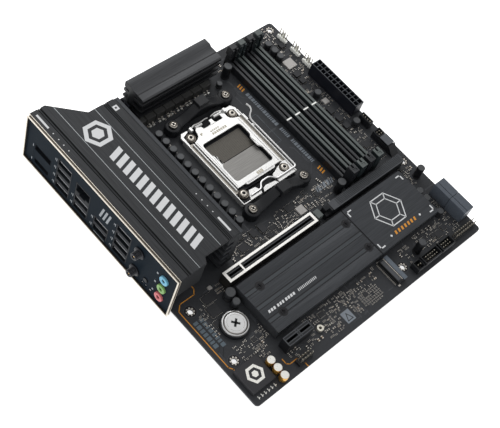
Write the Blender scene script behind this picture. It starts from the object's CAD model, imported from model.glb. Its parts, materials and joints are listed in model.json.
import json
import random
from math import cos, hypot, pi, radians, sin

import bmesh
import bpy
from mathutils import Matrix, Vector
from mathutils.geometry import tessellate_polygon


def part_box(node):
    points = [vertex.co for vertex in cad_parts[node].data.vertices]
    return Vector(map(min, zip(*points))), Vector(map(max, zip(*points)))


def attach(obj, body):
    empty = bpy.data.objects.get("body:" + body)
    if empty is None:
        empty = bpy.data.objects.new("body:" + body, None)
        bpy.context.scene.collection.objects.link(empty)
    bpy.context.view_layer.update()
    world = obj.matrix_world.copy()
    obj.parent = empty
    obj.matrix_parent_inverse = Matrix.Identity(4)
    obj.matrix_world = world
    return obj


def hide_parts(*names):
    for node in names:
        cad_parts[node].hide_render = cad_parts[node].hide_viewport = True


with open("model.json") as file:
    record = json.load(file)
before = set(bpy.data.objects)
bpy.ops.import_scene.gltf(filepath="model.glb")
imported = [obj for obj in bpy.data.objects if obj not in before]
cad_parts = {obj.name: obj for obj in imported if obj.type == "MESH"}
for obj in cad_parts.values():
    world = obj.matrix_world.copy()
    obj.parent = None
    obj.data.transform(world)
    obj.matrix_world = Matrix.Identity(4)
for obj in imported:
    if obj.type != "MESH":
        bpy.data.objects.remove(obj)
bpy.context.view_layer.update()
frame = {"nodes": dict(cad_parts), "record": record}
rng = random.Random(7)

MM = 0.001
# edges sharper than this are rounded and shaded as edges
EDGE_ANGLE = radians(38)
scene = bpy.context.scene
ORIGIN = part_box("pcb")[0]
BOARD_TOP = (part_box("pcb")[1].z - ORIGIN.z) / MM


def to_row(x, y, z):
    """A point in millimetres from the board's rear bottom corner, in the row frame."""
    return (ORIGIN.x + x * MM, ORIGIN.y + y * MM, ORIGIN.z + z * MM)


def limits(node):
    """A CAD node's box in board millimetres."""
    lo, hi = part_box(node)
    return [((a - o) / MM, (b - o) / MM) for a, b, o in zip(lo, hi, ORIGIN)]


# ---- materials

def node_material(name, color, rough, metal=0.0, grain=(1, 1, 1), scale=900, tint=0.12, bump=0.15,
                  rough_var=0.1, spec=0.3, dots=0.0):
    """Principled material with a noise driven colour, roughness and bump in object coordinates."""
    m = bpy.data.materials.new(name)
    m.use_nodes = True
    nodes, link = m.node_tree.nodes, m.node_tree.links.new
    nodes.clear()

    def node(kind, source=None, **values):
        """A node with its input values, fed from a source at the first input."""
        new = nodes.new("ShaderNode" + kind)
        for key, value in values.items():
            new.inputs[key.replace("_", " ")].default_value = value
        if source:
            link(source, new.inputs[0])
        return new

    out = node("OutputMaterial")
    bsdf = node("BsdfPrincipled", Metallic=metal, Specular_IOR_Level=spec)
    link(bsdf.outputs[0], out.inputs[0])
    coord = node("TexCoord").outputs["Object"]
    mapping = node("Mapping", coord, Scale=grain)
    noise = node("TexNoise", mapping.outputs[0], Scale=scale, Detail=4).outputs[0]
    ramp = node("ValToRGB", noise)
    for stop, place, share in zip(ramp.color_ramp.elements, (0.3, 0.7), (1 - tint, 1 + tint)):
        stop.position = place
        stop.color = (*[min(1, c * share) for c in color], 1)
    paint = ramp.outputs[0]
    spread = node("MapRange", noise, To_Min=max(0.02, rough - rough_var), To_Max=min(1, rough + rough_var))
    link(spread.outputs[0], bsdf.inputs["Roughness"])
    source = noise
    if dots:
        # a regular grid of pale points, also used for the relief
        source = node("TexVoronoi", coord, Scale=dots, Randomness=0).outputs["Distance"]
        shade = node("MapRange", source, From_Min=0.25, From_Max=0.5, To_Min=1.25, To_Max=0.6)
        mix = node("Mix")
        mix.data_type = "RGBA"
        mix.blend_type = "MULTIPLY"
        mix.inputs[0].default_value = 1
        link(paint, mix.inputs[6])
        link(shade.outputs[0], mix.inputs[7])
        paint = mix.outputs[2]
    link(paint, bsdf.inputs["Base Color"])
    if bump:
        relief = node("Bump", Strength=bump, Distance=0.00006)
        link(source, relief.inputs["Height"])
        link(relief.outputs[0], bsdf.inputs["Normal"])
    return m


def look(color, rough, metal=0.0, **more):
    """One material of the table below."""
    return dict(color=color, rough=rough, metal=metal, **more)


# noise stretched along an axis, for brushed metal
ALONG_X = (0.03, 1, 1)
ALONG_Y = (1, 0.03, 1)
LOOKS = dict(
    # materials of the CAD nodes' slots
    board=look((0.033, 0.035, 0.039), 0.5, scale=500, tint=0.1, bump=0.05, spec=0.2),
    panel_steel=look((0.009, 0.014, 0.02), 0.5, bump=0.03, spec=0.02),
    rim_metal=look((0.66, 0.61, 0.53), 0.3, 0.9, grain=ALONG_Y),
    port_shell=look((0.01, 0.012, 0.015), 0.45, spec=0.1),
    port_tongue=look((0.16, 0.17, 0.19), 0.4),
    dark_shell=look((0.01, 0.011, 0.014), 0.45, spec=0.15),
    black_plastic=look((0.008, 0.009, 0.011), 0.45),
    jack_plastic=look((0.16, 0.42, 0.58), 0.4),
    antenna_metal=look((0.02, 0.021, 0.025), 0.3, 0.6),
    cover_metal=look((0.036, 0.0375, 0.04), 0.42, 0.25, grain=ALONG_Y, scale=1500, tint=0.26,
                     bump=0.3, spec=0.12),
    heatsink=look((0.044, 0.047, 0.052), 0.42, 0.35, grain=ALONG_X, scale=1500, tint=0.2,
                  bump=0.25, spec=0.2),
    chip_plastic=look((0.022, 0.023, 0.026), 0.5),
    choke_metal=look((0.042, 0.042, 0.041), 0.55, 0.1, scale=1500, bump=0.3),
    capacitor_can=look((0.035, 0.037, 0.041), 0.42, 0.5),
    capacitor_dark=look((0.012, 0.013, 0.015), 0.4, 0.4),
    capacitor_gold=look((0.66, 0.36, 0.07), 0.24, 0.8),
    contact_metal=look((0.095, 0.088, 0.076), 0.45, 0.4, dots=950, bump=0.5),
    socket_steel=look((0.69, 0.69, 0.68), 0.3, 0.6, bump=0.01, tint=0.02, rough_var=0.02),
    wire_steel=look((0.74, 0.74, 0.74), 0.2, 1.0),
    screw_steel=look((0.5, 0.48, 0.46), 0.22, 1.0),
    backplate_steel=look((0.02, 0.02, 0.022), 0.5, 0.3),
    bracket_plastic=look((0.011, 0.012, 0.014), 0.42, scale=1400, spec=0.25),
    slot_dark=look((0.01, 0.011, 0.013), 0.42),
    slot_grey=look((0.092, 0.106, 0.103), 0.42),
    slot_shell=look((0.94, 0.925, 0.885), 0.3, 0.4, tint=0.02),
    button_plastic=look((0.02, 0.022, 0.025), 0.4),
    black_steel=look((0.014, 0.014, 0.016), 0.3, 0.5),
    standoff_metal=look((0.78, 0.75, 0.66), 0.3, 0.8),
    header_plastic=look((0.008, 0.009, 0.014), 0.42),
    sata_plastic=look((0.075, 0.088, 0.108), 0.45),
    pin_gold=look((0.5, 0.47, 0.4), 0.3, 0.9),
    white_plastic=look((0.92, 0.93, 0.89), 0.45, tint=0.03),
    battery_steel=look((0.62, 0.62, 0.62), 0.3, 0.85, tint=0.02, bump=0.02, rough_var=0.03),
    cover_dark=look((0.028, 0.028, 0.031), 0.5, 0.1),
    solder=look((0.5, 0.5, 0.5), 0.3, 1.0),
    # further materials of the added pieces
    white_ink=look((0.66, 0.67, 0.68), 0.5, tint=0.02, bump=0.02),
    grey_ink=look((0.26, 0.28, 0.3), 0.5, tint=0.05, bump=0.02),
    silver_line=look((0.36, 0.39, 0.4), 0.4, 0.3, tint=0.05),
    orange_ink=look((0.62, 0.26, 0.03), 0.5, tint=0.04, bump=0.02),
    trace=look((0.062, 0.066, 0.074), 0.38, tint=0.1, bump=0.02),
    dark=look((0.008, 0.008, 0.01), 0.5),
    slot_dark_top=look((0.026, 0.028, 0.031), 0.4),
    slot_grey_side=look((0.018, 0.024, 0.026), 0.42),
    tin=look((0.7, 0.66, 0.6), 0.35, 0.6, tint=0.1),
    smd_brown=look((0.2, 0.145, 0.1), 0.5, tint=0.2),
    smd_black=look((0.01, 0.01, 0.012), 0.45),
    chip_light=look((0.4, 0.385, 0.37), 0.4, 0.3, tint=0.05),
    cap_top=look((0.072, 0.075, 0.079), 0.42, 0.5),
    cap_white=look((0.86, 0.85, 0.8), 0.3, 0.4, tint=0.03),
    jack_green=look((0.22, 0.4, 0.13), 0.4),
    jack_pink=look((0.58, 0.16, 0.17), 0.4),
    top_sink=look((0.064, 0.066, 0.07), 0.42, 0.35, grain=ALONG_X, scale=1500,
                  tint=0.2, bump=0.25, spec=0.2),
    head_steel=look((0.5, 0.47, 0.42), 0.25, 0.9, tint=0.1),
    shell_side=look((0.045, 0.043, 0.04), 0.35, 0.7),
    steel_shade=look((0.3, 0.28, 0.25), 0.35, 0.9, grain=ALONG_Y, tint=0.2),
    screw_shade=look((0.105, 0.092, 0.078), 0.3, 0.8, tint=0.2),
    plate_print=look((0.6, 0.56, 0.46), 0.5, tint=0.03, bump=0.0),
    soft_line=look((0.42, 0.42, 0.42), 0.4, 0.4, bump=0.0),
    board_ink=look((0.2, 0.225, 0.255), 0.5, tint=0.05, bump=0.0),
    dim_ink=look((0.1, 0.13, 0.155), 0.5, tint=0.05, bump=0.0),
    groove_band=look((0.05, 0.056, 0.062), 0.42, 0.4, grain=ALONG_X, bump=0.2),
    strip_blue=look((0.105, 0.125, 0.15), 0.4),
    release_grey=look((0.06, 0.064, 0.071), 0.42),
    key_top=look((0.085, 0.092, 0.102), 0.45),
    fin_dark=look((0.016, 0.017, 0.019), 0.4, 0.3, grain=ALONG_X, scale=1500, bump=0.2, spec=0.2),
    gold=look((0.8, 0.55, 0.22), 0.22, 1.0),
    contact_light=look((0.225, 0.22, 0.21), 0.4, 0.5, grain=ALONG_X, scale=2200, tint=0.2, bump=0.3),
)
M = {name: node_material(name, **row) for name, row in LOOKS.items()}
SLOT = {entry["node"]: entry["material_slot"] for entry in frame["record"]["subparts"]}
for node, slot in SLOT.items():
    data = frame["nodes"][node].data
    data.materials.clear()
    data.materials.append(M[slot])
BODY = {n: b for b, ns in frame["record"]["behaviour"]["bodies"].items() for n in ns}


# ---- geometry

def ring_quads(count, n):
    """Quads that join rings of n points in order."""
    return [(j * n + i, j * n + (i + 1) % n, (j + 1) * n + (i + 1) % n, (j + 1) * n + i)
            for j in range(count - 1) for i in range(n)]


def ring_caps(count, n):
    """Faces over the first and the last ring."""
    return [tuple(range(n - 1, -1, -1)), tuple(range(count - n, count))]


def add_object(name, data):
    o = bpy.data.objects.new(name, data)
    scene.collection.objects.link(o)
    return o


class Piece:
    """Collects geometry in millimetres from a point of the board and makes one object of it.

    mats names its materials, in the order of the indices below; the slot's own is the default.
    """

    def __init__(self, name, slot, mats=None, body="board", replaces=(), bevel=0.0, segments=2,
                 at=(0, 0, 0)):
        self.name, self.slot, self.mats, self.body, self.at = name, slot, mats or slot, body, at
        self.replaces, self.bevel, self.segments = replaces, bevel, segments
        self.verts, self.faces, self.index = [], [], []

    def add(self, verts, faces, mat=0):
        k = len(self.verts)
        self.verts += [tuple(a + b for a, b in zip(v, self.at)) for v in verts]
        self.faces += [[k + i for i in f] for f in faces]
        self.index += [mat] * len(faces)

    def box(self, x, y, z, mat=0):
        """Box between two limits along each axis, in either order."""
        v = [(a, b, c) for c in sorted(z) for b in sorted(y) for a in sorted(x)]
        self.add(v, [(0, 2, 3, 1), (4, 5, 7, 6), (0, 1, 5, 4), (2, 6, 7, 3), (0, 4, 6, 2), (1, 3, 7, 5)],
                 mat)

    def turned_box(self, c, size, angle, z, mat=0):
        """Upright box turned about Z."""
        ca, sa = cos(angle), sin(angle)
        pts = [(-0.5, -0.5), (0.5, -0.5), (0.5, 0.5), (-0.5, 0.5)]
        pts = [(c[0] + ca * u * size[0] - sa * v * size[1], c[1] + sa * u * size[0] + ca * v * size[1])
               for u, v in pts]
        self.prism(pts, z, mat=mat)

    def prism(self, pts, span, axis="z", mat=0):
        """Outline drawn out along an axis: (x, y) along z, (y, z) along x, (x, z) along y."""
        place = {"z": lambda p, h: (p[0], p[1], h), "x": lambda p, h: (h, p[0], p[1]),
                 "y": lambda p, h: (p[0], h, p[1])}[axis]
        self.loft([[place(p, h) for p in pts] for h in span], mat)

    def lathe(self, c, profile, axis="z", n=32, mats=None, closed=True):
        """Profile of (radius, height) pairs turned about an axis through c."""
        v = []
        for r, h in profile:
            for i in range(n):
                a = 2 * pi * i / n
                u, w = r * cos(a), r * sin(a)
                v.append({"z": (c[0] + u, c[1] + w, c[2] + h), "x": (c[0] + h, c[1] + u, c[2] + w),
                          "y": (c[0] + w, c[1] + h, c[2] + u)}[axis])
        mats = mats or [0] * len(profile)
        start = len(self.index)
        self.add(v, ring_quads(len(profile), n) + (ring_caps(len(v), n) if closed else []))
        bands = [m for m in mats[:len(profile) - 1] for _ in range(n)]
        self.index[start:] = bands + ([mats[0], mats[-1]] if closed else [])

    def tube(self, pts, r, n=10, mat=0):
        """Round bar swept through points."""
        pts = [Vector(p) for p in pts]
        side = None
        rings = []
        for i, p in enumerate(pts):
            d = (pts[min(i + 1, len(pts) - 1)] - pts[max(i - 1, 0)]).normalized()
            if side is None:
                side = d.orthogonal().normalized()
            side = (side - d * side.dot(d)).normalized()
            other = d.cross(side)
            turn = [2 * pi * j / n for j in range(n)]
            rings.append([tuple(p + side * (r * cos(a)) + other * (r * sin(a))) for a in turn])
        self.loft(rings, mat)

    def loft(self, sections, mat=0):
        """Closed outlines with the same number of points, joined in order."""
        n = len(sections[0])
        v = [p for s in sections for p in s]
        self.add(v, ring_quads(len(sections), n) + ring_caps(len(v), n), mat)

    def sheet(self, outer, holes, z, mat=0):
        """Flat plate with openings."""
        loops = [outer] + list(holes)
        tris = tessellate_polygon([[Vector((x, y, 0)) for x, y in loop] for loop in loops])
        flat = [p for loop in loops for p in loop]
        n = len(flat)
        f = [tuple(t) for t in tris] + [tuple(i + n for i in reversed(t)) for t in tris]
        k = 0
        for loop in loops:
            m = len(loop)
            f += [(k + i, k + (i + 1) % m, n + k + (i + 1) % m, n + k + i) for i in range(m)]
            k += m
        self.add([(x, y, h) for h in z for x, y in flat], f, mat)

    def strip(self, pts, width, z, mat=0):
        """Flat line of a given width through (x, y) points."""
        for a, b in zip(pts, pts[1:]):
            a, b = Vector(a), Vector(b)
            d = (b - a).normalized() * width / 2
            s = Vector((-d.y, d.x))
            quad = [a - d * 0.9 + s, a - d * 0.9 - s, b + d * 0.9 - s, b + d * 0.9 + s]
            self.prism([tuple(q) for q in quad], z, mat=mat)

    def done(self):
        me = bpy.data.meshes.new(self.name)
        me.from_pydata([to_row(*v) for v in self.verts], [], self.faces)
        me.validate()
        self.finish(me)

    def finish(self, me):
        """Makes the object from a mesh and the piece's settings."""
        for m in self.mats.split():
            me.materials.append(M[m])
        me.polygons.foreach_set("material_index", self.index)
        bm = bmesh.new()
        bm.from_mesh(me)
        bmesh.ops.recalc_face_normals(bm, faces=bm.faces)
        bm.to_mesh(me)
        bm.free()
        me.polygons.foreach_set("use_smooth", [True] * len(me.polygons))
        me.set_sharp_from_angle(angle=EDGE_ANGLE)
        o = add_object(self.name, me)
        if self.bevel:
            b = o.modifiers.new("edge", "BEVEL")
            b.width = self.bevel * MM
            b.segments = self.segments
            b.limit_method = "ANGLE"
            b.angle_limit = EDGE_ANGLE
            b.use_clamp_overlap = False
            b.harden_normals = True
        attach(o, self.body)
        if self.replaces:
            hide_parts(self.replaces)


def soften(node, bevel=0.2, mats=None, paint=None, segments=2):
    """A copy of a CAD node with rounded edges. paint(centre, normal) picks a material index."""
    piece = Piece(node + "_look", SLOT[node], mats, BODY[node], node, bevel, segments)
    bm = bmesh.new()
    bm.from_mesh(frame["nodes"][node].data)
    bmesh.ops.remove_doubles(bm, verts=bm.verts, dist=2e-6)
    bmesh.ops.dissolve_limit(bm, angle_limit=radians(0.6), verts=bm.verts, edges=bm.edges)
    me = bpy.data.meshes.new(piece.name)
    bm.to_mesh(me)
    bm.free()
    me.materials.clear()
    piece.index = [0] * len(me.polygons)
    if paint:
        for p in me.polygons:
            c = [(a - b) / MM for a, b in zip(p.center, ORIGIN)]
            piece.index[p.index] = paint(c, p.normal)
    piece.finish(me)


def bend(a, b, c, r, n):
    """Points of a curve that rounds the corner at b."""
    a, b, c = Vector(a), Vector(b), Vector(c)
    k = min(r, (a - b).length * 0.45, (c - b).length * 0.45)
    p, q = b + (a - b).normalized() * k, b + (c - b).normalized() * k
    return [p * (1 - t) ** 2 + b * 2 * t * (1 - t) + q * t * t for t in (i / n for i in range(n + 1))]


def round_corners(pts, radii, n=5):
    """A closed outline with its corners rounded."""
    out = []
    for i, (b, r) in enumerate(zip(pts, radii)):
        out += [tuple(p) for p in bend(pts[i - 1], b, pts[(i + 1) % len(pts)], r, n)]
    return out


def smooth_path(pts, r=2.2, n=6):
    """An open line of points with its corners rounded."""
    out = [Vector(pts[0])]
    for a, b, c in zip(pts, pts[1:], pts[2:]):
        out += bend(a, b, c, r, n)
    return out + [Vector(pts[-1])]


def hexagon(c, r):
    return [(c[0] + r * cos(pi / 3 * i), c[1] + r * sin(pi / 3 * i)) for i in range(6)]


def hexagon_ring(piece, c, r_out, r_in, span, mat=0):
    outer, inner = hexagon(c, r_out), hexagon(c, r_in)
    for i in range(6):
        j = (i + 1) % 6
        piece.prism([outer[i], outer[j], inner[j], inner[i]], span, mat=mat)


def closed_line(piece, pts, width, span, mat):
    for a, b in zip(pts, pts[1:] + pts[:1]):
        piece.strip([a, b], width, span, mat)


def faces_up(height):
    """Paints the faces that look up from above a height with the second material."""
    return lambda c, n: 1 if n.z > 0.7 and c[2] > height else 0


def mid(c, half):
    """Limits half a width either side of a centre."""
    return (c - half, c + half)


def above(a, b):
    """Heights above the board's top face."""
    return (T + a, T + b)


T = BOARD_TOP
INK = above(0, 0.03)

# ---- board

marks = Piece("board_marks", "board", "orange_ink grey_ink tin trace dark")
for route in (
    [(24, 96), (24, 92), (21, 88.5), (8, 88.5), (3.5, 84.5), (3.5, 33), (5.5, 30), (5.5, 28.6)],
    [(38, 15), (38, 11), (40, 9.2), (47, 9.2), (49.5, 7.5), (49.5, 0.3)],
):
    marks.strip(route, 0.7, INK, 0)
for y0 in (115.3, 208.6):
    for i in range(3):
        y = y0 - i * 2.5
        marks.prism([(172.8, y - 1.5), (172.8, y - 0.2), (176.6, y + 0.7), (176.6, y - 0.6)], INK, mat=0)
# plain bars where a board carries its print
art_rng = random.Random(11)


def bar_row(piece, x, y, size, length, axis, mat, slant=0.0, widths=(0.9, 1.3, 1.8, 2.4), gap=0.7):
    """A row of plain bars of varied width running along an axis."""
    t = 0
    while t < length:
        w = art_rng.choice(widths)
        if axis == "y":
            quad = [(x, y - t), (x, y - t - w), (x + size, y - t - w + slant), (x + size, y - t + slant)]
        else:
            quad = [(x + t, y), (x + t + w, y), (x + t + w + slant, y + size), (x + t + slant, y + size)]
        piece.prism(quad, INK, mat=mat)
        t += w + gap


ink = Piece("board_print", "board", "board_ink dim_ink cap_white dark")
for y, length in ((199, 36), (159, 10), (146, 24)):
    bar_row(ink, 173.2, y, 3.3, length, "y", 0)
for x, y, size, length in ((5.4, 72, 3.6, 22), (10.6, 71.5, 3.4, 23)):
    bar_row(ink, x, y, size, length, "y", 1, widths=(1.8, 2.4, 3.0), gap=0.9)
bar_row(ink, 157, 98.6, 4.6, 17, "x", 0, slant=1.8, widths=(1.0, 2.6, 3.2), gap=1.0)
for i in range(6):
    for dy in (0, 1.4):
        ink.box((5.0 + i * 3.1, 5.6 + i * 3.1), (3.2 + dy, 4.2 + dy), INK, 2)
    ink.box((5.6 + i * 3.1, 6.4 + i * 3.1), (3.8, 4.4), INK, 2)
ink.box((96.6, 104.8), (5.8, 15), INK, 0)
closed_line(ink, [(98.2, 7.4), (103.2, 7.4), (100.7, 12.8)], 0.6, above(0, 0.04), 3)
closed_line(ink, [(160.8, 150), (160.8, 180), (167, 180), (167, 150)], 0.18, INK, 1)
ink.done()

HOLES = [(10.16, 34.29), (10.16, 80.01), (165.1, 13.97), (165.1, 237.49),
         (237.49, 80.01), (237.49, 237.49)]
PAD_R = 2.85
for cx, cy in HOLES:
    # dark pad, trace round it and tinned barrel
    for profile, mat in (([(2.05, 0), (2.05, 0.04), (4.5, 0.04), (4.5, 0)], 4),
                         ([(4.5, 0), (4.5, 0.03), (4.75, 0.03), (4.75, 0)], 3),
                         ([(2.0, -1.5), (2.0, 0.05), (2.3, 0.06), (2.3, 0)], 2)):
        marks.lathe((cx, cy, T), profile, mats=[mat] * 3, n=40, closed=False)
    for i in range(8):
        a = pi * (i + 0.5) / 4
        pad = (cx + PAD_R * cos(a), cy + PAD_R * sin(a))
        marks.turned_box(pad, (0.8, 1.0), a, above(0, 0.07), 2)
marks.done()

# where no traces or small parts go: (x0, x1, y0, y1)
KEEP_OUT = [
    (-5, 60.2, 88, 250), (76, 162, 218, 244), (82, 88.5, 109, 207), (91, 163, 105, 214),
    (177.5, 214, 88, 233), (231.5, 244, 84, 134), (232, 244, 134.5, 187.5), (236, 241, 189, 230),
    (42, 139.5, 76.5, 87), (143, 231, 76.5, 85.5), (44, 153.6, 28.7, 73.7), (153.6, 219.6, 28.7, 73.7),
    (42, 68, 16, 24.8), (149.5, 164, 5, 28.5), (16, 40, 42.5, 66), (34, 44.5, 61, 77.5), (2.4, 24.2, 7, 28.8),
    (24.4, 31.4, 1, 22), (43, 57.5, 3, 9), (168.8, 242, 2.4, 11.4), (231.5, 244, 13.8, 47.5),
    (180, 188, 13.5, 20.5), (232.5, 239.5, 60.5, 67.5), (167, 175, 87, 95), (61.5, 81, 232, 243),
    (226.5, 232, 47, 55), (72.8, 79.2, 12.3, 18.7), (72.5, 79, 218, 232), (64, 76.5, 108, 214),
    (219, 226.5, 206, 229), (218.5, 226, 162.5, 169.5), (226, 233, 124.5, 131.5), (220, 227.5, 26, 55),
    (157, 163.5, 213, 220), (168, 175, 218, 226), (0, 60.5, 85.5, 96), (95.5, 106, 4.8, 16),
]
KEEP_OUT += [(cx - 4.8, cx + 4.8, cy - 4.8, cy + 4.8) for cx, cy in HOLES]


def free(x, y, m=0.5):
    return all(not (a - m < x < b + m and c - m < y < d + m) for a, b, c, d in KEEP_OUT)


traces = Piece("board_traces", "board", "trace")
for _ in range(520):
    x, y = rng.uniform(4, 240), rng.uniform(4, 240)
    d = rng.choice([0, 2, 4, 6])
    route = [(x, y)]
    for _ in range(rng.randint(2, 5)):
        length = rng.uniform(2, 12)
        x += length * cos(d * pi / 4)
        y += length * sin(d * pi / 4)
        if not (2 < x < 242 and 2 < y < 242 and free(x, y, 0)):
            break
        route.append((x, y))
        d = (d + rng.choice([-1, 1])) % 8
    if len(route) > 1:
        for k in range(rng.randint(1, 4)):
            traces.strip([(a + k * 0.45, b + k * 0.45) for a, b in route], 0.2, above(0, 0.012))
traces.done()

# small parts: (x0, x1, y0, y1, how many)
CLUSTERS = [
    (113, 147, 19.5, 27, 34), (70, 112, 17, 28, 95), (78, 94, 5, 17, 45), (44, 72, 9.4, 15.4, 34),
    (14, 44, 29, 43, 70), (12, 22, 54, 78, 28), (30, 42, 78, 87, 18), (60, 92, 88, 107, 60),
    (88, 164, 88, 108, 150), (62, 82, 96, 108, 30), (88, 92, 109, 206, 46), (61, 64, 98, 225, 40),
    (76, 160, 214.2, 217.6, 46), (214.5, 236, 189, 232, 85), (214.5, 232, 134, 186, 80),
    (214.5, 231, 90, 124, 60), (226, 236, 66, 78, 22), (220, 231, 56, 74, 30), (221, 231, 12, 46, 50),
    (166, 180, 12.5, 27, 22), (189, 220, 12, 27, 60), (104, 150, 118, 121, 10), (160, 177, 96, 108, 20),
    (216, 232, 226, 241, 24), (163, 176, 224, 240, 18), (26, 34, 22, 34, 16), (98, 112, 8, 18, 20),
    (104, 116, 4, 19, 14),
]
smd = Piece("small_parts", "chip_plastic", "smd_brown tin smd_black")
SIZES = [(1.0, 0.55, 0.4), (1.6, 0.85, 0.6), (1.6, 0.8, 0.5), (2.1, 1.25, 0.9)]
CHIPS = [  # (x, y, size x, size y, height, light)
    (226.6, 202.2, 9.4, 9.0, 1.1, 1), (134.7, 94.7, 7, 7, 1.0, 1), (225.3, 158.1, 5.4, 5, 1.0, 1),
    (223.5, 108.8, 7, 6.4, 1.0, 0), (210.2, 17, 6, 6, 1.0, 0),
    (128, 101.2, 8, 5.6, 1.0, 0), (24, 71, 9, 9, 1.1, 0), (219, 178, 5, 5, 0.9, 0),
    (227, 172, 4, 4, 0.9, 0), (217.5, 147, 5, 6, 0.9, 0), (228, 94, 4, 4, 0.8, 0),
    (105, 96, 5, 4, 0.8, 0), (75, 96, 6.5, 6.5, 0.9, 0), (155, 98, 4, 5, 0.8, 0), (19, 62, 4, 5, 1, 0),
    (216.5, 116, 4, 4, 0.8, 0), (85, 23, 5, 4, 0.8, 0), (124, 15, 4, 4, 0.8, 0), (230, 180.5, 3, 3, 0.8, 0),
    (221, 235, 4, 4, 0.8, 0), (196, 20, 5, 5, 0.9, 0), (92, 91, 3.4, 3.4, 0.8, 0),
    (233.7, 219.5, 5, 5, 2.2, 0), (223.3, 190.4, 5.4, 5, 2.2, 0), (223.3, 183.2, 5.4, 5, 2.2, 0),
    (221.8, 148.6, 5.6, 6.4, 2.0, 0), (221.8, 138.6, 5.2, 5.4, 2.4, 0), (221.7, 130.4, 5, 5, 2.4, 0),
    (220.4, 110.7, 5, 5, 0.9, 0), (229.0, 100.6, 5, 5, 0.9, 0), (98.4, 100.4, 5.4, 8, 1.6, 0),
    (89.8, 100.8, 5, 6.6, 1.2, 0), (147.6, 104.4, 4, 4, 0.8, 0), (99.7, 92.6, 4, 5, 0.8, 0),
    (27, 80, 9.6, 7, 1.1, 0), (32.3, 37.9, 3.6, 3.6, 0.8, 0), (78.2, 104.4, 6.8, 5.4, 1.8, 0),
    (33.5, 86.0, 3, 2.6, 0.8, 1), (218.3, 18.9, 4.6, 4.6, 0.9, 0), (224.8, 73.2, 5, 4, 1.0, 0),
    (229.4, 75.4, 4, 3, 1.6, 0), (206.2, 18.6, 4, 4, 0.8, 0), (222, 158, 2.6, 2.6, 0.8, 0),
]
taken = [(x, y, max(a, b) / 2 + 0.8) for x, y, a, b, h, light in CHIPS]


def clear(x, y, r):
    return all(abs(x - a) > r + c or abs(y - b) > r + c for a, b, c in taken)


def small_part(x, y, l, w, h, turned, body):
    """Chip resistor or capacitor: a body between two tinned ends."""
    e = l * 0.25
    for part, (a, b) in enumerate([(-l / 2, -l / 2 + e), (-l / 2 + e, l / 2 - e), (l / 2 - e, l / 2)]):
        k = body if part == 1 else 1
        hh, ww = (h, w) if part != 1 else (h * 0.94, w * 0.94)
        if turned:
            smd.box(mid(x, ww / 2), (y + a, y + b), above(0, hh), k)
        else:
            smd.box((x + a, x + b), mid(y, ww / 2), above(0, hh), k)


# an orderly oval field of small parts at the lower edge
for i in range(9):
    for j in range(7):
        x, y = 118 + i * 2.2, 6.2 + j * 2.0
        if hypot((x - 127) / 10.4, (y - 12.4) / 7.4) < 1.05 and rng.random() < 0.9:
            small_part(x, y, 1.25, 0.7, 0.5, (i + j) % 2 == 0, 2)
            taken.append((x, y, 1.4))
for x0, x1, y0, y1, count in CLUSTERS:
    made = 0
    for _ in range(count * 3):
        if made >= count * 0.75:
            break
        l, w, h = rng.choice(SIZES) if rng.random() < 0.6 else SIZES[0]
        x, y = rng.uniform(x0, x1), rng.uniform(y0, y1)
        turned = rng.random() < 0.5
        body = 0 if rng.random() < 0.15 else 2
        for _ in range(rng.choice([1, 1, 2, 3, 4, 5])):
            if free(x, y, l / 2) and clear(x, y, l / 2) and 1.5 < x < 242 and 1.5 < y < 242:
                taken.append((x, y, l / 2 + 0.06))
                small_part(x, y, l, w, h, turned, body)
                made += 1
            if turned:
                x += w + 0.55
            else:
                y += w + 0.55
smd.done()

# ---- chips

chips = Piece("chips", "chip_plastic", "chip_plastic chip_light tin",
              replaces="integrated_circuits", bevel=0.12)
leads = Piece("chip_leads", "solder", "tin")
LEAD_PITCH = 0.8
chips.box((176.6, 196.6), (41.2, 61.2), above(0, 2))
for x, y, a, b, h, light in CHIPS:
    chips.box(mid(x, a / 2), mid(y, b / 2), (T + 0.05, T + h), 1 if light else 0)
    n = int(a / LEAD_PITCH)
    for i in range(n):
        px = x - a / 2 + (i + 0.5) * a / n
        for s in (-1, 1):
            leads.box(mid(px, 0.16), (y + s * b / 2 - 0.3, y + s * b / 2 + 0.35), above(0, 0.22))
    n = int(b / LEAD_PITCH)
    for i in range(n):
        py = y - b / 2 + (i + 0.5) * b / n
        for s in (-1, 1):
            leads.box((x + s * a / 2 - 0.35, x + s * a / 2 + 0.35), mid(py, 0.16), above(0, 0.22))
chips.done()
leads.done()

# ---- rear panel

soften("io_shield", 0.15)
(rx0, _), (ry0, ry1), (rz0, rz1) = limits("io_shield_rim")
RIM_WALL = 1.2
lip = Piece("rim_lip", "rim_metal", "rim_metal screw_shade", replaces="io_shield_rim", bevel=0.1)
for x0, x1, inset in ((rx0, rx0 + 0.4, 0), (rx0 + 0.4, rx0 + 2.0, 0.9), (rx0 + 2.0, rx0 + 2.4, 0)):
    k = 1 if inset else 0
    lip.box((x0, x1), (ry0 + inset, ry1 - inset), (rz1 - RIM_WALL, rz1 - inset), k)
    lip.box((x0, x1), (ry0 + inset, ry1 - inset), (rz0 + inset, rz0 + RIM_WALL), k)
    lip.box((x0, x1), (ry0 + inset, ry0 + RIM_WALL), (rz0 + RIM_WALL, rz1 - RIM_WALL), k)
    lip.box((x0, x1), (ry1 - RIM_WALL, ry1 - inset), (rz0 + RIM_WALL, rz1 - RIM_WALL), k)
lip.done()

for node in ("usb_quad_stacks", "lan_usb_stack", "usb_dual_stack", "usb_tongues"):
    soften(node, 0.12)
port_front = limits("display_ports")[0][0]
soften("display_ports", 0.15, SLOT["display_ports"] + " panel_steel",
       lambda c, n: 1 if n.x < -0.7 and c[0] < port_front + 0.2 else 0)
soften("audio_jacks", 0.15)
soften("bios_button", 0.2)
face_x = limits("io_shield")[0][0]

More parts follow.
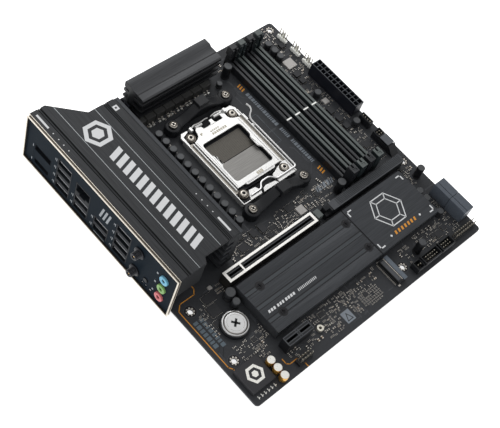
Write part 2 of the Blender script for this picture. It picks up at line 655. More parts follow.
# plain bars where the panel carries its print
panel_marks = Piece("panel_marks", "port_tongue", "grey_ink white_ink")
sheet = (face_x - 0.03, face_x + 0.02)


def panel_mark(y, z, mat=0):
    panel_marks.box(sheet, y, z, mat)


for yc, rows in ((207, 4), (142.8, 4), (186.2, 2), (164.3, 2)):
    for i in range(rows):
        z = 4.2 + i * 8.75
        panel_mark((yc + 8.6, yc + 9.2), mid(z, 1.6))
        panel_mark((yc + 9.9, yc + 10.4), mid(z, 1.0))
for k in range(3):
    y = 168 - k * 3.6
    panel_marks.prism([(y, 22), (y - 1.9, 22), (y - 4.4, 33.5), (y - 2.5, 33.5)], sheet, "x", 0)
for z in (3.4, 19.2):
    panel_mark((240.6, 241.3), mid(z, 1.4))
for z in (8, 18.8, 29.8):
    panel_mark((106.3, 107.8), mid(z, 0.9))
panel_marks.done()
# bright edges of the tongues and shells inside the openings
edges = Piece("port_edges", "port_shell", "soft_line silver_line")
inset = (face_x + 1.2, face_x + 1.5)
for y0, y1, rows in ((200.6, 213.4, (33.0, 24.4, 15.4, 6.6)), (136.6, 149.2, (33.0, 24.4, 15.4, 6.6)),
                     (179.6, 193.4, (15.4, 6.6)), (158.6, 170.2, (15.4,))):
    for z in rows:
        edges.box(inset, (y0, y1), (z - 2.5, z - 2.2), 0)
        edges.box((face_x + 1.0, face_x + 1.4), (y0, y1 - 4), (z - 0.25, z), 0)
edges.box((face_x - 0.04, face_x + 0.3), (158.2, 169.8), (-0.25, 0.25), 1)
edges.box((face_x + 0.6, face_x + 1.0), (181, 192), (28.4, 28.9), 0)
edges.done()

JACK_Z = (7.9, 18.7, 29.7)
rings = Piece("jack_rings", "jack_plastic", "jack_pink jack_green jack_plastic",
              replaces="audio_jack_rings")
jack_face = limits("audio_jack_rings")[0][0]
RING = [(1.5, 3.2), (1.5, 0.5), (2.0, 0.0), (3.3, 0.0), (3.75, 0.25), (3.9, 0.7), (3.9, 2.4)]
for i, z in enumerate(JACK_Z):
    rings.lathe((jack_face, 100, z), RING, "x", 40, [i] * 6, closed=False)
rings.done()
holes = Piece("jack_holes", "black_plastic", "dark")
for z in JACK_Z:
    holes.lathe((jack_face + 0.9, 100, z), [(1.5, 0), (1.5, 0.3)], "x", 24)
holes.done()

ant = Piece("antenna_look", "antenna_metal", "antenna_metal gold", replaces="antenna_connectors")
ax0 = limits("antenna_connectors")[0][0]
for z in (7.2, 30):
    prof = [(1.3, 4), (1.3, 0.25), (1.6, 0), (2.7, 0), (3.0, 0.3)]
    for k in range(8):
        prof += [(3.0, 0.5 + k * 0.5), (2.75, 0.7 + k * 0.5)]
    prof += [(3.0, 4.6), (4.6, 4.8), (4.8, 5.0), (4.8, 5.9), (3.0, 6.0), (3.0, 10)]
    ant.lathe((ax0, 125.8, z), prof, "x", 36, closed=False)
    ant.lathe((ax0, 125.8, z), [(0.55, 0.6), (0.55, 4)], "x", 12, [1])
    ant.lathe((ax0, 125.8, z), [(1.3, 3.6), (1.3, 3.7)], "x", 24, [1])
ant.done()

# ---- rear cover

COVER_Z = 44.6
OUTLINE = [(-1.9, 88.6), (21.4, 88.6), (24.3, 93.5), (57.2, 93.5), (57.2, 229.2), (33.4, 229.2),
           (11.5, 250.2), (-1.9, 250.2)]


def clip(poly, x, keep_right):
    """Keeps the part of an outline on one side of the line at x."""
    out = []
    for a, b in zip(poly, poly[1:] + poly[:1]):
        ain = (a[0] >= x) == keep_right
        bin_ = (b[0] >= x) == keep_right
        if ain:
            out.append(a)
        if ain != bin_:
            t = (x - a[0]) / (b[0] - a[0])
            out.append((x, a[1] + t * (b[1] - a[1])))
    return out


def clipped(poly, x0, x1):
    return clip(clip(poly, x0, True), x1, False)


cover = Piece("cover_look", "cover_metal", "cover_metal silver_line white_ink",
              replaces="io_cover", bevel=0.22)
# strips of the roof along Y: (x0, x1, depth below the top)
STRIPS = [(-1.9, 4.9, 0), (4.9, 5.5, 1.0), (5.5, 6.1, 0.2), (6.1, 7.6, 1.2), (7.6, 46.2, 0),
          (46.2, 46.8, 0.9), (46.8, 47.6, 0.1), (47.6, 48.3, 0.9), (48.3, 49.0, 0.1), (49.0, 49.5, 0.9),
          (49.5, 55.2, 0), (55.2, 57.2, 1.1)]
for x0, x1, depth in STRIPS:
    cover.prism(clipped(OUTLINE, x0, x1), (COVER_Z - 2.2, COVER_Z - depth))
cover.box((-0.9, 0.4), (88.7, 250.1), (35.5, COVER_Z - 2))
cover.box((-0.9, 21.2), (88.7, 89.9), (21, COVER_Z - 2))
cover.prism([(21.2, 88.7), (24.1, 93.6), (24.1, 95), (21.2, 90)], (21, COVER_Z - 2))
cover.done()
art = Piece("cover_art", "cover_metal", "silver_line white_ink dark")
film = (COVER_Z - 0.01, COVER_Z + 0.03)
for x, low_end, high_end in ((15.5, 88.9, 250.2 - (15.5 - 11.5) * 21 / 21.9), (38.8, 93.8, 229.0)):
    art.box(mid(x, 0.18), (low_end, high_end - 0.3), film, 0)
art.box((0.8, 2.4), (232.9, 246.4), film, 1)
art.box((51.4, 53.0), (98.5, 111.4), film, 1)
for x, ys in (((1.2, 2.0), (227.6, 221.6, 216, 210.4)), ((51.8, 52.6), (116.9, 122.6, 128.3, 134.3))):
    for y in ys:
        art.box(x, mid(y, 0.4), film, 1)
art.prism([(50.2, 219.4), (54.2, 219.4), (54.2, 223.8), (50.2, 223.8)], film, mat=1)
art.box((51.4, 53.0), (220.9, 222.4), (film[0], film[1] + 0.02), 2)
# emblem: a hexagon ring round a solid hexagon
ec = (27.4, 211)
hexagon_ring(art, ec, 11.4, 7.8, film, 1)
art.prism(hexagon(ec, 4.9), film, mat=1)
# slanted bars down the middle of the brushed panel
y = 101.5
BAR, RISE, BAR_PITCH = 4.6, 3.4, 7.1
for k in range(13):
    art.prism([(21.6, y), (33.0, y + RISE), (33.0, y + RISE + BAR), (21.6, y + BAR)], film, mat=1)
    y += BAR_PITCH
art.done()

soften("vrm_heatsink_left", 0.25)
soften("vrm_heatsink_top", 0.22, "top_sink fin_dark",
       lambda c, n: 0 if n.z > 0.5 and c[2] > 20 else 1)
(tx0, tx1), _, (_, tz1) = limits("vrm_heatsink_top")
sink_line = Piece("sink_lines", "heatsink", "dark")
sink_line.box((tx0 + 0.1, tx1 - 0.1), (228.6, 229.4), (tz1 - 2, tz1 - 1.33))
sink_line.box((tx0 + 0.1, tx1 - 0.1), (236.0, 236.5), (tz1 - 2, tz1 - 0.75))
sink_line.done()
soften("vrm_chokes", 0.4, segments=3)
soften("vrm_power_stages", 0.1)
feet = Piece("choke_feet", "solder", "tin cap_white")
CHOKE_X, CHOKE_PITCH = 77.5, 9.375
for i in range(8):
    x = CHOKE_X + i * CHOKE_PITCH
    for dx in (2.0, 5.4):
        feet.box((x + dx, x + dx + 1.3), (217.5, 218.45), above(0, 0.5), 0)
        if i:
            feet.box((x + dx - 1, x + dx + 0.6), (215.2, 216.3), above(0, 0.9), 1)
feet.done()

# ---- capacitors


def can(piece, x, y, r, z1):
    """Upright can with a dark foot, a groove above it and a recessed top."""
    h = z1 - T
    piece.lathe((x, y, T), [(r, 0), (r + 0.12, 0.1), (r + 0.12, 0.9), (r - 0.2, 1.1), (r, 1.4), (r, h - 0.45),
                            (r - 0.15, h - 0.15), (r - 0.45, h), (r - 0.6, h - 0.12), (r - 0.9, h - 0.12)],
                n=32, mats=[2, 2, 2, 0, 0, 0, 1, 1, 1, 1])


def can_piece(name, slot, top, node, cans):
    piece = Piece(name, slot, f"{slot} {top} dark", replaces=node)
    for x, y, r, z1 in cans:
        can(piece, x, y, r, z1)
    piece.done()


# cans: (x, y, radius, top)
can_piece("can_capacitors", "capacitor_can", "cap_top", "vrm_capacitors",
          [(85, 112.7 + i * 8.26, 3.1, 10.6) for i in range(12)]
          + [(160.1, 216.5, 2.5, 6.2), (221.7, 210, 3.1, 8), (221.7, 216.9, 3.1, 8), (221.7, 224.8, 3.1, 8),
             (222.2, 165.9, 3.1, 8), (229.4, 127.8, 3.1, 8), (223.7, 29.2, 2.9, 8), (223.7, 43.6, 2.9, 8),
             (223.7, 51.5, 2.9, 8), (39.4, 72.8, 4, 10), (38.2, 65.2, 3.1, 9.6)])
can_piece("tall_cans", "capacitor_dark", "cap_top", "tall_capacitors",
          [(184, 17, 3.1, 15.8), (236, 64, 3.1, 13.9), (171, 91, 3.4, 15), (171, 221.4, 3.4, 15)])
can_piece("gold_cans", "capacitor_gold", "cap_white", "audio_capacitors",
          [(27.8, 4.4 + 6.9 * i, 3.15, 9) for i in range(3)])

# ---- socket

# the processor socket's centre
SX, SY = 126.36, 158.72
SOCKET = (SX, SY, T)
tray = Piece("socket_tray", "black_plastic", replaces="socket_housing", bevel=0.15, at=SOCKET)
tray.box((-21.8, 21.8), (-27.6, 27.6), (0, 2.0))
for sx in (-1, 1):
    tray.box((sx * 21.8, sx * 20.2), (-27.6, 27.6), (1.9, 3.4))
for sy in (-1, 1):
    tray.box((-20.3, 20.3), (sy * 27.6, sy * 20.2), (1.9, 3.4))
tray.done()
field = Piece("contact_field", "contact_metal", "contact_metal contact_light",
              replaces="socket_contacts", at=SOCKET)
field.box((-19.2, 18.2), (0.1, 18.0), (1.9, 2.5), 0)
field.box((-19.2, 18.2), (-19.2, -0.5), (1.9, 2.6), 1)
field.done()

steel = Piece("frame_look", "socket_steel", "socket_steel steel_shade dark",
              replaces="socket_frame", bevel=0.14, at=SOCKET)
for s in (-1, 1):
    steel.box((s * 28, s * 27.2), (-37.5, 31), (0, 5.2), 0)
    steel.box((s * 27.3, s * 22), (-27, 26), (2.6, 3.5), 1)
    steel.box((s * 24.1, s * 23.1), (-25, 24.6), (3.4, 5.0), 0)
    for e in (-1, 1):
        steel.prism([(s * 17, e * 26.4), (s * 22, e * 25), (s * 27.3, e * 26), (s * 27.3, e * 36.8),
                     (s * 19, e * 36.8), (s * 16.2, e * 33)], (2.6, 3.3), mat=2)
# pressed tabs at both ends: (outline, top)
TABS = [
    ([(-20.4, -37.4), (-8.8, -37.4), (-7.6, -34.6), (-9.8, -30.4), (-15.8, -29.6), (-18.4, -33.6)], 4.6),
    ([(-6.4, -37.4), (9.3, -37.4), (7.3, -34.6), (-1.4, -33.4), (-4.6, -34.4)], 4.2),
    ([(9.7, -37.4), (27.9, -37.4), (27.9, -25.2), (24.4, -24.8), (17.4, -26.6), (12.6, -28.6),
      (9.8, -29.4), (8.4, -31.4), (9.4, -34.4)], 4.4),
    ([(13.2, 33.6), (13.2, 37), (25.4, 37), (27.9, 33.4), (27.9, 25.4), (25.2, 25.4), (25.6, 33)], 4.6),
    ([(-27.9, 24.8), (-26.2, 24.8), (-25.6, 33.6), (-19.4, 35.6), (-19.4, 37), (-25.4, 37),
      (-27.9, 34)], 4.6),
]
for outline, height in TABS:
    steel.prism(outline, (2.6, height))
# bent plates at the edges, hinge ears and the lever's catch
for x, y, z in (((-27.9, -20.6), (-37.5, -36.7), (0, 4.6)), ((-18.4, -16.2), (33.5, 36.9), (3.8, 7.1)),
                ((16.2, 18.4), (33.5, 36.9), (3.8, 7.1)), ((-16, -9.6), (36.5, 37.3), (2.6, 5.6)),
                ((6.6, 13.2), (36.5, 37.3), (2.6, 5.6)), ((27.9, 29.3), (19.2, 25.4), (1.2, 5.0)),
                ((27.9, 31.4), (12.4, 15), (1.4, 3.1))):
    steel.box(x, y, z)
# hinge wire
for route in ([(-17.4, 35.2, 6.2), (-14, 36.9, 6.3), (-12.2, 37.3, 6.3), (-10.2, 37.0, 6.1),
               (-8.0, 36.9, 6.0), (-4.6, 36.9, 6.0), (-1.4, 37.2, 6.2), (1.6, 37.2, 5.4)],
              [(4.4, 36.9, 5.4), (7, 37.2, 6.2), (9.4, 37.3, 6.6), (11.8, 37.0, 6.4), (13.6, 36.8, 6.2),
               (17.6, 35.6, 6.2)]):
    steel.tube(route, 0.5)
steel.done()

load = Piece("load_plate_look", "socket_steel", "socket_steel plate_print soft_line",
             body=BODY["socket_load_plate"], replaces="socket_load_plate", bevel=0.16, at=SOCKET)
EDGE = [(-22, -24.4), (-15, -24.4), (-13.4, -26.2), (14.6, -26.2), (16.2, -24.4), (22.6, -24.4),
        (22.6, 24.4), (18.6, 25.8), (16.4, 27.4), (15.5, 29.4), (15.5, 33), (11.4, 34.8), (11.4, 30.2),
        (5, 30.2), (3.6, 31.4), (3.4, 34.8), (0.4, 34.8), (0.2, 31.8), (-1.4, 30.6), (-8, 30.6), (-8.4, 33),
        (-12.4, 34.4), (-14.6, 33), (-15.5, 29.4), (-16.4, 27.4), (-18.6, 25.8), (-22.6, 24.4),
        (-22.6, -24.4)]
WINDOW = [(-19.5, -19.9), (19.5, -19.9), (19.5, -6.6), (17.2, -3.8), (17.2, 4.6), (19.5, 7.4), (19.5, 19.9),
          (-19.5, 19.9), (-19.5, 8.6), (-16.6, 5.6), (-16.6, -1.4), (-19.5, -4.4)]
window = round_corners(WINDOW, [3.2 if abs(y) > 15 else 0.9 for x, y in WINDOW])
load.sheet(round_corners(EDGE, [0.5] * len(EDGE), 3), [window], (5, 6.2))
for s in (-1, 1):
    load.lathe((s * 9.5 - 3.4, 35.2, 5.6), [(1.15, 0), (1.15, 6.8)], "x", 20)
    load.box((s * 21.5, s * 21.3), (-23.6, 23.8), (6.19, 6.22), 2)
load.box((-12.6, 14), (-25.2, -25.0), (6.19, 6.22), 2)
film = (6.19, 6.225)
for i in range(7):
    load.box((-5.4 + i * 2.1, -4.0 + i * 2.1), (22.2, 24.2), film, 1)
for i in range(5):
    load.box((-5.4 + i * 1.8, -4.3 + i * 1.8), (25.2, 26.4), film, 1)
for i in range(3):
    load.box((-1 + i * 2.1, 0.6 + i * 2.1), (-24, -21.4), film, 1)
load.prism([(-14.2, 28.6), (-11.6, 28.4), (-13.8, 25.8)], film, mat=1)
load.done()
soften("socket_backplate", 0.4)

lever = Piece("lever_look", "wire_steel", body="lever", replaces="socket_lever", at=(SX, SY, T + 5))
route = [(-17.5, -34.4, 0), (-7.4, -34.4, 0), (-3.6, -29.7, 0.2), (4.4, -29.5, 0.2), (7.6, -31.8, 0),
         (9.6, -34.2, 0), (30.2, -34.2, 0), (30.2, 13, 0), (29.9, 17.6, 0.6), (31.2, 20.7, 1.6),
         (34.4, 22.8, 3.0), (35.2, 25.2, 4.0), (33.4, 28.7, 5.4)]
lever.tube(smooth_path(route), 0.9, 14)
lever.done()

screws = Piece("screw_look", "screw_steel", "screw_steel dark screw_shade head_steel",
               replaces="steel_screws", at=SOCKET)
COOLER_HEAD = [(1.5, -3.3), (1.5, 7.0), (2.9, 7.5), (3.3, 7.9), (3.4, 8.5), (3.2, 9.1), (2.6, 9.5),
               (1.7, 9.65), (1.0, 9.6), (0.7, 8.8)]
FRAME_HEAD = [(1.4, -3.3), (1.4, 3.8), (4.1, 3.8), (4.2, 4.4), (3.9, 4.9), (3.3, 4.75), (3.1, 4.75),
              (2.95, 5.4), (2.4, 5.9), (1.5, 6.0), (1.25, 5.9), (1.2, 5.0)]
for sx in (-1, 1):
    for sy in (-1, 1):
        c = (sx * 27, sy * 45, 0)
        screws.lathe(c, COOLER_HEAD, n=36, mats=[0, 0, 0, 0, 0, 3, 2, 3, 1])
        for a in (0.5, 0.5 + pi / 2):
            screws.turned_box(c, (3.6, 0.75), a, (9.3, 9.7), 1)
        c = (sx * 21.5, sy * 30, 0)
        screws.lathe(c, FRAME_HEAD, n=36, mats=[2, 2, 2, 2, 2, 1, 3, 3, 3, 3, 1, 1])
        for a in range(3):
            screws.turned_box(c, (2.9, 0.55), a * pi / 3, (5.5, 6.02), 1)
screws.done()

# cooler brackets: an arched arm on a web, with a raised lug in the middle
brk = Piece("bracket_look", "bracket_plastic", replaces="cooler_brackets", bevel=0.0)
ARM, ARM_STEPS, ARM_SHEET = 27, 40, 3.0


def arch(x):
    """Height of the arm at a distance from its middle."""
    u = min(1, abs(x) / ARM)
    return 8.8 + 8.8 * (0.5 + 0.5 * cos(pi * min(1, u / 0.86))) ** 1.1


for s in (-1, 1):
    y0 = SY + s * 45
    sections = []
    for i in range(ARM_STEPS + 1):
        x = -ARM + 2 * ARM * i / ARM_STEPS
        z = arch(x)
        w = 4.6 - 0.9 * sin(pi * i / ARM_STEPS)
        lo = max(2.0, z - ARM_SHEET)
        ring = [(-w, lo), (w, lo), (w + 0.15, z - 0.7), (w - 0.5, z - 0.1), (w - 1.1, z), (-w + 1.1, z),
                (-w + 0.5, z - 0.1), (-w - 0.15, z - 0.7)]
        sections.append([(SX + x, y0 + s * 0.4 + a, b) for a, b in ring])
    brk.loft(sections)
    web = [(-ARM, T + 0.1), (ARM, T + 0.1)]
    for i in range(ARM_STEPS + 1):
        x = ARM - 2 * ARM * i / ARM_STEPS
        web.append((x, arch(x) - 1.5))
    brk.prism([(SX + a, b) for a, b in web], mid(y0, 1.0), "y")
    for t in (-1, 1):
        brk.lathe((SX + t * ARM, y0, T), [(6.2, 0.05), (6.2, 6.6), (5.9, 7.3), (5.2, 7.6), (4.0, 7.6),
                                          (3.8, 6.9), (3.6, 6.9)], n=48)
brk.done()
lugs = Piece("bracket_lugs", "bracket_plastic", bevel=0.5, segments=3)
for s in (-1, 1):
    lugs.box((SX - 4.6, SX + 5.4), (SY + s * 42.4, SY + s * 50.6), (12.5, 20.0))
lugs.done()

# ---- memory sockets

FIRST_SOCKET_X, SOCKET_PITCH = 181.5, 9.4
for i in range(4):
    dark = i % 2 == 0
    mats = "slot_dark slot_dark_top" if dark else "slot_grey_side slot_grey"
    soften(f"dimm_slot_{i + 1}", 0.16, mats, faces_up(8))
    node = f"dimm_latch_{i + 1}"
    x = FIRST_SOCKET_X + i * SOCKET_PITCH
    latch = Piece(node + "_look", SLOT[node], mats, body=BODY[node], replaces=node, bevel=0.3,
                  segments=3)
    latch.box(mid(x, 1.6), (227.2, 231), above(0.6, 13.3), 0)
    latch.box(mid(x, 3.1), (227.3, 232.8), above(13, 21.1), 0)
    for s in (-1, 1):
        latch.box((x + s * 0.9, x + s * 3.1), (225.9, 227.5), above(13, 21.1), 0)
    latch.box(mid(x, 2.9), (227.6, 232.6), above(20.9, 21.7), 1)
    latch.lathe((x - 2.9, 229.5, T + 3.4), [(0.95, 0), (0.95, 5.8)], "x", 20)
    latch.done()
    caps = Piece(f"socket_end_{i + 1}", SLOT[f"dimm_slot_{i + 1}"], mats)
    caps.box(mid(x, 1.62), (89.45, 91.45), above(17.1, 20.8), 1)
    caps.done()
bars = Piece("memory_keys", "white_plastic")
for i in range(4):
    x = FIRST_SOCKET_X + i * SOCKET_PITCH
    bars.box(mid(x, 2.6), (158.2, 159.4), (8.98, 9.06), 0)
bars.done()

# ---- expansion sockets

soften("pcie_x16_slot", 0.15)
soften("pcie_x16_shield", 0.2, "shell_side slot_shell", faces_up(12))
soften("pcie_x16_latch", 0.3)
(gx0, gx1), (gy0, gy1), (_, gz1) = limits("pcie_x16_slot")
inner_lines = Piece("slot_inner_lines", "slot_dark", "key_top")
for s in (-1, 1):
    y = (gy0 + gy1) / 2 + s * 1.25
    inner_lines.box((gx0 + 3, gx1 - 3), mid(y, 0.14), (gz1 - 0.02, gz1 + 0.03))
inner_lines.done()
soften("pcie_x1_slot", 0.2)
(sx0, sx1), (sy0, sy1), (_, sz1) = limits("pcie_x1_slot")
outline = Piece("small_slot_lines", "black_plastic", "key_top")
top = (sz1 - 0.02, sz1 + 0.04)
for y in (sy0 + 0.5, (sy0 + sy1) / 2 - 1.5, (sy0 + sy1) / 2 + 1.5, sy1 - 0.5):
    outline.box((sx0 + 0.5, sx1 - 0.5), mid(y, 0.18), top)
for x in (sx0 + 0.5, sx0 + 11.6, sx0 + 13.6, sx1 - 0.5):
    outline.box(mid(x, 0.18), (sy0 + 0.5, sy1 - 0.5), top)
outline.done()
housing = Piece("release_look", "bracket_plastic", "bracket_plastic release_grey",
                replaces="release_housing", bevel=0.15)
_, (hy0, _), (_, hz1) = limits("release_housing")
bx0, bx1, key_x = 149.6, 230.5, (232, 239.6)
# beam over the rod's channel, then the walls of the key's well and of the small square beside it
for x, y, z, mat in (
    ((bx0, bx1), (hy0, 84.8), (T + 4.1, hz1 - 0.4), 0), ((bx0, bx1), (hy0, 84.8), (hz1 - 0.45, hz1), 1),
    ((bx0, bx1), (hy0, 79.5), above(0, 4.2), 0), ((bx0, bx1), (82.5, 84.8), above(0, 4.2), 0),
    ((bx1 - 1.4, bx1), (79.4, 82.6), above(0, 4.2), 0),
    ((232, 233.8), (95.1, 105.3), above(0, 5.2), 0), ((237.8, 239.6), (95.1, 105.3), above(0, 5.2), 0),
    ((233.7, 237.9), (95.1, 97.1), above(0, 5.2), 0), ((233.7, 237.9), (103.3, 105.3), above(0, 5.2), 0),
    ((232, 232.9), (105.2, 112.3), above(0, 7.2), 0), ((238.7, 239.6), (105.2, 112.3), above(0, 7.2), 0),
    ((232.8, 238.8), (105.2, 106.1), above(0, 7.2), 0), ((232.8, 238.8), (111.4, 112.3), above(0, 7.2), 0),
):
    housing.box(x, y, z, mat)
housing.prism([(87.5, T), (95.2, T), (95.2, T + 7.2), (94.9, T + 7.2), (87.5, T + 0.4)], key_x, "x", 0)
housing.done()
ribs = Piece("release_ribs", "bracket_plastic", "groove_band dark")
for i in range(6):
    y = hy0 + 0.9 + i * 1.16
    ribs.box((157.6, bx1 - 0.6), mid(y, 0.2), (hz1 - 0.02, hz1 + 0.06), 0)
    ribs.box((157.6, bx1 - 0.6), (y + 0.3, y + 0.75), (hz1 - 0.02, hz1 + 0.03), 1)
ribs.box((156.3, 156.8), (hy0 + 0.2, 84.6), (hz1 - 0.02, hz1 + 0.03), 1)
ribs.done()
soften("release_slider", 0.25)
soften("release_button", 0.15, "button_plastic key_top", faces_up(8))

# ---- flat plates

for node, edge in (("m2_heatsink", 0.22), ("chipset_heatsink", 0.25), ("m2_screws", 0.15),
                   ("m2_sockets", 0.15), ("m2_standoffs", 0.15)):
    soften(node, edge)
strip = Piece("drive_socket_look", "black_plastic",
              "strip_blue tin smd_black release_grey")
strip.box((155.2, 158.9), (5.2, 27.4), above(4.1, 4.6), 0)
strip.box((154.2, 155.1), (5.9, 27.1), above(4.15, 4.24), 2)
for y in (4.6, 27.4):
    strip.box((150.2, 152.2), (y - 0.6, y + 0.8), above(0, 0.35), 1)
for i in range(24):
    y = 6.6 + i * 0.86
    strip.box((148.6, 149.8), (y, y + 0.42), above(0, 0.35), 1)
    strip.box((154.0, 154.8), (y, y + 0.4), above(4.18, 4.3), 1)
strip.box((150.6, 153.6), (7.2, 25.8), above(4.18, 4.25), 3)
strip.done()
soften("audio_cover", 0.25)
(mx0, mx1), (my0, my1), (_, mz1) = limits("m2_heatsink")
bands = Piece("groove_lines", "heatsink", "groove_band dark")
line_z = (mz1 - 0.02, mz1 + 0.04)
for y, spans in ((63.5, ((mx0 + 0.3, 55.4), (61.6, 145.2))), (51.1, ((mx0 + 0.3, mx1 - 0.3),)),
                 (39.2, ((mx0 + 0.3, 55.4), (61.6, 145.2)))):
    for x0, x1 in spans:
        bands.box((x0, x1), mid(y, 1.3), (mz1 - 0.02, mz1 + 0.025), 0)
        bands.box((x0, x1), (y + 1.2, y + 2.1), line_z, 1)
        bands.box((x0, x1), (y - 1.75, y - 1.2), line_z, 1)
for x in (58.5, 148.3):
    for y in (39.1, 63.5):
        bands.lathe((x, y, mz1), [(2.3, -0.02), (2.3, 0.05), (3.7, 0.05), (3.7, -0.02)],
                    mats=[1, 1, 1], n=32, closed=False)
bands.box((mx1 - 0.6, mx1 + 0.02), (my0 + 0.2, my1 - 0.2), line_z, 1)
bands.done()
(px0, px1), (py0, py1), (_, plate_top) = limits("chipset_heatsink")
plate_art = Piece("plate_art", "heatsink", "white_ink orange_ink")
ink = (plate_top - 0.01, plate_top + 0.03)
for x, y, dx, dy in ((px0 + 1.6, py1 - 3, 1, -1), (px0 + 1.4, py0 + 3, 1, 1),
                     (px1 - 2.3, py1 - 3, -1, -1), (px1 - 2.1, py0 + 2.9, -1, 1)):
    plate_art.box((x, x + 5 * dx), (y, y + 1.1 * dy), ink, 0)
    plate_art.box((x, x + 1.1 * dx), (y, y + 5 * dy), ink, 0)
gc = ((px0 + px1) / 2 - 1, 53.5)
for r_out, r_in in ((15.2, 14.2), (10.2, 9.3)):
    hexagon_ring(plate_art, gc, r_out, r_in, ink)
for a, b in zip(hexagon(gc, 14.4), hexagon(gc, 10.0)):
    plate_art.strip([a, b], 0.8, ink, 0)
for i in range(7):
    x = gc[0] - 11 + i * 3.6
    plate_art.prism([(x, 34.2), (x + 1.8, 34.2), (x + 2.6, 37.2), (x + 0.8, 37.2)], ink, mat=1)
for x in (gc[0] - 15, gc[0] + 18):
    plate_art.turned_box((x, 35.7), (1.6, 1.6), pi / 4, ink, 0)
for x0, count, pitch, w in ((49.4, 3, 2.5, 1.7), (58, 3, 2.4, 1.6), (66, 4, 2.5, 1.8), (79, 13, 1.45, 0.62)):
    for i in range(count):
        x = x0 + i * pitch
        plate_art.prism([(x, 43.8), (x + w, 43.8), (x + w + 0.5, 45.9), (x + 0.5, 45.9)], ink, mat=0)
plate_art.done()
audio_top = limits("audio_cover")[2][1]
audio_art = Piece("audio_art", "cover_dark", "cap_white")
ac, ink = (13.3, 17.9), (audio_top - 0.01, audio_top + 0.03)
hexagon_ring(audio_art, ac, 7.2, 4.9, ink)
audio_art.prism(hexagon(ac, 2.6), ink)
audio_art.done()

# ---- plugs and headers

(wx0, wx1), (wy0, wy1), (_, wz1) = limits("atx_power_header")
plug = Piece("main_plug_look", "header_plastic", "header_plastic key_top",
             replaces="atx_power_header", bevel=0.1)
plug.box((wx0, wx1), (wy0, wy1), above(0, 2))
PITCH, WALL, LINE = 4.2, 0.55, 0.24
for k in range(3):
    x = (wx0 + wx1) / 2 + (k - 1) * PITCH
    plug.box(mid(x, WALL / 2), (wy0 + 0.1, wy1 - 0.1), (T + 1.9, wz1))
    plug.box(mid(x, LINE), (wy0 + 0.3, wy1 - 0.3), (wz1 - 0.05, wz1 + 0.03), 1)
for k in range(13):
    y = (wy0 + wy1) / 2 + (k - 6) * PITCH
    plug.box((wx0 + 0.1, wx1 - 0.1), mid(y, WALL / 2), (T + 1.9, wz1))
    plug.box((wx0 + 0.3, wx1 - 0.3), mid(y, LINE), (wz1 - 0.05, wz1 + 0.03), 1)
for x in ((wx0, wx0 + 0.4), (wx1 - 0.4, wx1)):
    plug.box(x, (wy0, wy1), (T + 1.9, wz1))
for y in ((wy0, wy0 + 0.4), (wy1 - 0.4, wy1)):
    plug.box((wx0, wx1), y, (T + 1.9, wz1))
plug.done()
for node, edge in (("eps_power_headers", 0.15), ("sata_ports", 0.3), ("header_shrouds", 0.12)):
    soften(node, edge)
fans = Piece("fan_header_look", SLOT["fan_headers"], "white_plastic", replaces="fan_headers", bevel=0.15)
for y in (219.6, 203.6, 189.3):
    fans.box((238.0, 240.4), (y, y + 10.2), above(0, 2.6))
    for k in range(3):
        fans.box((237.6, 238.5), (y + 1.4 + k * 2.9, y + 3.0 + k * 2.9), above(0, 3.4))
    fans.box((240.0, 240.4), (y + 3.6, y + 6.6), above(2.5, 7.4))
fans.done()
soften("battery_holder", 0.2)
BATTERY_C = (28.1, 53.9)
bat = Piece("battery_look", "battery_steel", "battery_steel dark steel_shade",
            replaces="battery")
bat.lathe((*BATTERY_C, T), [(9.9, 1.4), (10, 1.6), (10, 3.4), (9.7, 3.9), (8.9, 4.1), (8.7, 3.9), (8.4, 3.9),
                            (8.1, 4.4), (7.7, 4.6), (7.3, 4.6)], n=72, mats=[0, 0, 0, 0, 2, 1, 2, 0, 0, 0])
for a in (0.7, 0.7 + pi / 2):
    bat.turned_box(BATTERY_C, (6.6, 1.7), a, above(4.59, 4.64), 1)
for i in range(40):
    a = pi * 2 * i / 40
    if i % 10 not in (0, 1):
        c = (BATTERY_C[0] + 6.3 * cos(a), BATTERY_C[1] + 6.3 * sin(a))
        bat.turned_box(c, (0.3, 0.6), a, above(4.59, 4.63), 2)
bat.done()

# ---- floor, light, camera

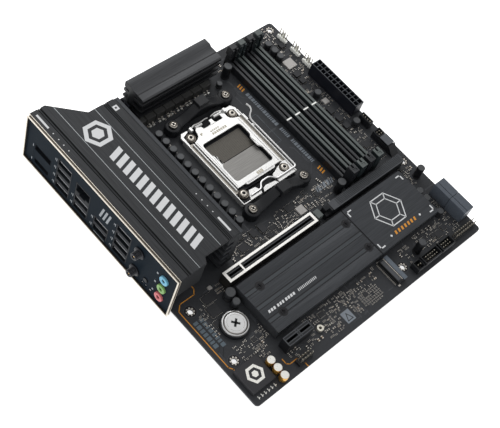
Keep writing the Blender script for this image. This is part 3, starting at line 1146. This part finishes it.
floor_mat = node_material("floor", (0.92, 0.92, 0.92), 0.9, scale=3, tint=0.0, bump=0.0, rough_var=0.0)
shader = next(n for n in floor_mat.node_tree.nodes if n.type == "BSDF_PRINCIPLED")
shader.inputs["Emission Color"].default_value = (1, 1, 1, 1)
shader.inputs["Emission Strength"].default_value = 0.75
bpy.ops.mesh.primitive_plane_add(size=12, location=(0, 0, -0.0004))
floor = bpy.context.object
floor.name = "floor"
floor.data.materials.append(floor_mat)

world = bpy.data.worlds.new("world")
scene.world = world
world.use_nodes = True
world.node_tree.nodes["Background"].inputs[0].default_value = (1, 1, 1, 1)
world.node_tree.nodes["Background"].inputs[1].default_value = 0.66


def softbox(name, place, aim, size, power):
    data = bpy.data.lights.new(name, "AREA")
    data.shape = "RECTANGLE"
    data.size, data.size_y = size
    data.energy = power
    o = add_object(name, data)
    o.location = place
    o.rotation_euler = (Vector(aim) - Vector(place)).to_track_quat("-Z", "Y").to_euler()


softbox("key", (0.5, 0.85, 0.9), (0, 0, 0), (1.0, 1.0), 6.6)
softbox("fill", (-1.3, -0.3, 0.8), (0, 0, 0), (1.0, 1.0), 3)

CAM_AZ, CAM_EL, CAM_ROLL = radians(-62.75), radians(54.547), radians(23.817)
CAM_AIM, CAM_DIST = (100.828, 115.057, 0), 0.825697
SENSOR, FOCAL_WIDTHS = 36, 2.242742
back = Vector((sin(CAM_AZ) * cos(CAM_EL), -cos(CAM_AZ) * cos(CAM_EL), sin(CAM_EL)))
right = (-back).cross(Vector((0, 0, 1))).normalized()
up = right.cross(-back)
right, up = (right * cos(CAM_ROLL) + up * sin(CAM_ROLL),
             up * cos(CAM_ROLL) - right * sin(CAM_ROLL))
cam_data = bpy.data.cameras.new("camera")
cam = add_object("camera", cam_data)
cam.matrix_world = Matrix.Translation(Vector(to_row(*CAM_AIM)) + back * CAM_DIST) @ Matrix(
    (right, up, back)).transposed().to_4x4()
cam_data.sensor_width = SENSOR
cam_data.lens = SENSOR * FOCAL_WIDTHS
cam_data.clip_start = 0.05
scene.camera = cam
scene.view_settings.view_transform = "Standard"
